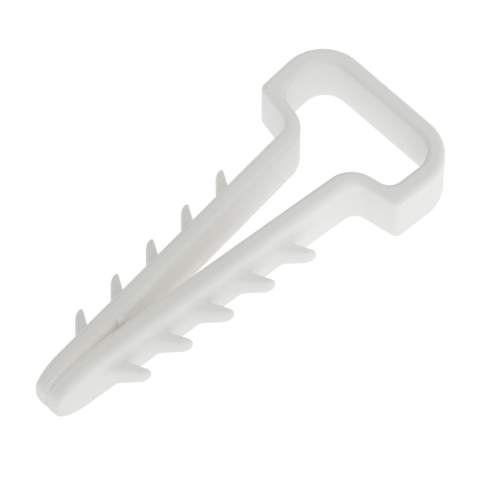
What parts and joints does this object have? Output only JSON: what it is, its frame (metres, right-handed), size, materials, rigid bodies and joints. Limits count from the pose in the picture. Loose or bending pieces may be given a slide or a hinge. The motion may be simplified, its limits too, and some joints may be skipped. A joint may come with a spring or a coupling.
{
  "type": "wall anchor",
  "caption": "Push-in wall anchor for flat cable: a rounded strap loop on two barbed legs that squeeze together, enter a drilled hole and grip it, in white nylon.",
  "frame": {"origin": "middle of the face that it lies on, at the middle of its length and width", "axes": "+Y along the shank from the nose to the crown, +X across the loop, +Z through the moulding's depth"},
  "size_m": [0.018, 0.0432, 0.0062],
  "materials": {
    "nylon": "satin"
  },
  "bodies": {
    "crown": {"crown_bar": "nylon", "left_bow": "nylon", "right_bow": "nylon"},
    "left_wall": {"left_end_wall": "nylon", "left_heel": "nylon"},
    "right_wall": {"right_end_wall": "nylon", "right_heel": "nylon"},
    "left_seat": {"left_shoulder": "nylon", "left_neck": "nylon"},
    "right_seat": {"right_shoulder": "nylon", "right_neck": "nylon"},
    "left_shank": {"left_leg": "nylon", "left_nose": "nylon", "spacer_rib": "nylon"},
    "right_shank": {"right_leg": "nylon", "right_nose": "nylon"},
    "right_barb_1": {"right_barb_1": "nylon"},
    "right_barb_2": {"right_barb_2": "nylon"},
    "right_barb_3": {"right_barb_3": "nylon"},
    "right_barb_4": {"right_barb_4": "nylon"},
    "right_barb_5": {"right_barb_5": "nylon"},
    "left_barb_1": {"left_barb_1": "nylon"},
    "left_barb_2": {"left_barb_2": "nylon"},
    "left_barb_3": {"left_barb_3": "nylon"},
    "left_barb_4": {"left_barb_4": "nylon"},
    "left_barb_5": {"left_barb_5": "nylon"}
  },
  "joints": [
    {"name": "right_bow_flex", "type": "hinge", "parent": "crown", "child": "right_wall", "pos_m": [0.00712, 0.01979, 0.0031], "axis": [0, 0, -1], "range_deg": [0, 12], "stiffness_Nm_per_rad": 0.05, "deforming": ["right_bow"]},
    {"name": "right_heel_flex", "type": "hinge", "parent": "right_wall", "child": "right_seat", "pos_m": [0.00765, 0.01395, 0.0031], "axis": [0, 0, 1], "range_deg": [0, 22], "stiffness_Nm_per_rad": 0.05, "deforming": ["right_heel"]},
    {"name": "right_neck_flex", "type": "hinge", "parent": "right_seat", "child": "right_shank", "pos_m": [0.00385, 0.01253, 0.0031], "axis": [0, 0, 1], "range_deg": [0, 15], "stiffness_Nm_per_rad": 0.05, "deforming": ["right_neck"]},
    {"name": "right_barb_1_flex", "type": "hinge", "parent": "right_shank", "child": "right_barb_1", "pos_m": [0.00366, 0.00504, 0.0031], "axis": [0, 0, 1], "range_deg": [0, 18], "stiffness_Nm_per_rad": 0.02},
    {"name": "right_barb_2_flex", "type": "hinge", "parent": "right_shank", "child": "right_barb_2", "pos_m": [0.00327, 0.00032, 0.0031], "axis": [0, 0, 1], "range_deg": [0, 18], "stiffness_Nm_per_rad": 0.02},
    {"name": "right_barb_3_flex", "type": "hinge", "parent": "right_shank", "child": "right_barb_3", "pos_m": [0.00288, -0.00441, 0.0031], "axis": [0, 0, 1], "range_deg": [0, 18], "stiffness_Nm_per_rad": 0.02},
    {"name": "right_barb_4_flex", "type": "hinge", "parent": "right_shank", "child": "right_barb_4", "pos_m": [0.00248, -0.00913, 0.0031], "axis": [0, 0, 1], "range_deg": [0, 18], "stiffness_Nm_per_rad": 0.02},
    {"name": "right_barb_5_flex", "type": "hinge", "parent": "right_shank", "child": "right_barb_5", "pos_m": [0.00209, -0.01386, 0.0031], "axis": [0, 0, 1], "range_deg": [0, 18], "stiffness_Nm_per_rad": 0.02},
    {"name": "left_bow_flex", "type": "hinge", "parent": "crown", "child": "left_wall", "pos_m": [-0.00712, 0.01979, 0.0031], "axis": [0, 0, 1], "range_deg": [0, 12], "stiffness_Nm_per_rad": 0.05, "deforming": ["left_bow"]},
    {"name": "left_heel_flex", "type": "hinge", "parent": "left_wall", "child": "left_seat", "pos_m": [-0.00765, 0.01395, 0.0031], "axis": [0, 0, -1], "range_deg": [0, 22], "stiffness_Nm_per_rad": 0.05, "deforming": ["left_heel"]},
    {"name": "left_neck_flex", "type": "hinge", "parent": "left_seat", "child": "left_shank", "pos_m": [-0.00385, 0.01253, 0.0031], "axis": [0, 0, -1], "range_deg": [0, 15], "stiffness_Nm_per_rad": 0.05, "deforming": ["left_neck"]},
    {"name": "left_barb_1_flex", "type": "hinge", "parent": "left_shank", "child": "left_barb_1", "pos_m": [-0.00366, 0.00504, 0.0031], "axis": [0, 0, -1], "range_deg": [0, 18], "stiffness_Nm_per_rad": 0.02},
    {"name": "left_barb_2_flex", "type": "hinge", "parent": "left_shank", "child": "left_barb_2", "pos_m": [-0.00327, 0.00032, 0.0031], "axis": [0, 0, -1], "range_deg": [0, 18], "stiffness_Nm_per_rad": 0.02},
    {"name": "left_barb_3_flex", "type": "hinge", "parent": "left_shank", "child": "left_barb_3", "pos_m": [-0.00288, -0.00441, 0.0031], "axis": [0, 0, -1], "range_deg": [0, 18], "stiffness_Nm_per_rad": 0.02},
    {"name": "left_barb_4_flex", "type": "hinge", "parent": "left_shank", "child": "left_barb_4", "pos_m": [-0.00248, -0.00913, 0.0031], "axis": [0, 0, -1], "range_deg": [0, 18], "stiffness_Nm_per_rad": 0.02},
    {"name": "left_barb_5_flex", "type": "hinge", "parent": "left_shank", "child": "left_barb_5", "pos_m": [-0.00209, -0.01386, 0.0031], "axis": [0, 0, -1], "range_deg": [0, 18], "stiffness_Nm_per_rad": 0.02}
  ],
  "couplings": [
    {"joint": "left_bow_flex", "follows": "right_bow_flex", "ratio": 1},
    {"joint": "right_neck_flex", "follows": "right_bow_flex", "ratio": 1.25},
    {"joint": "left_neck_flex", "follows": "right_bow_flex", "ratio": 1.25}
  ]
}
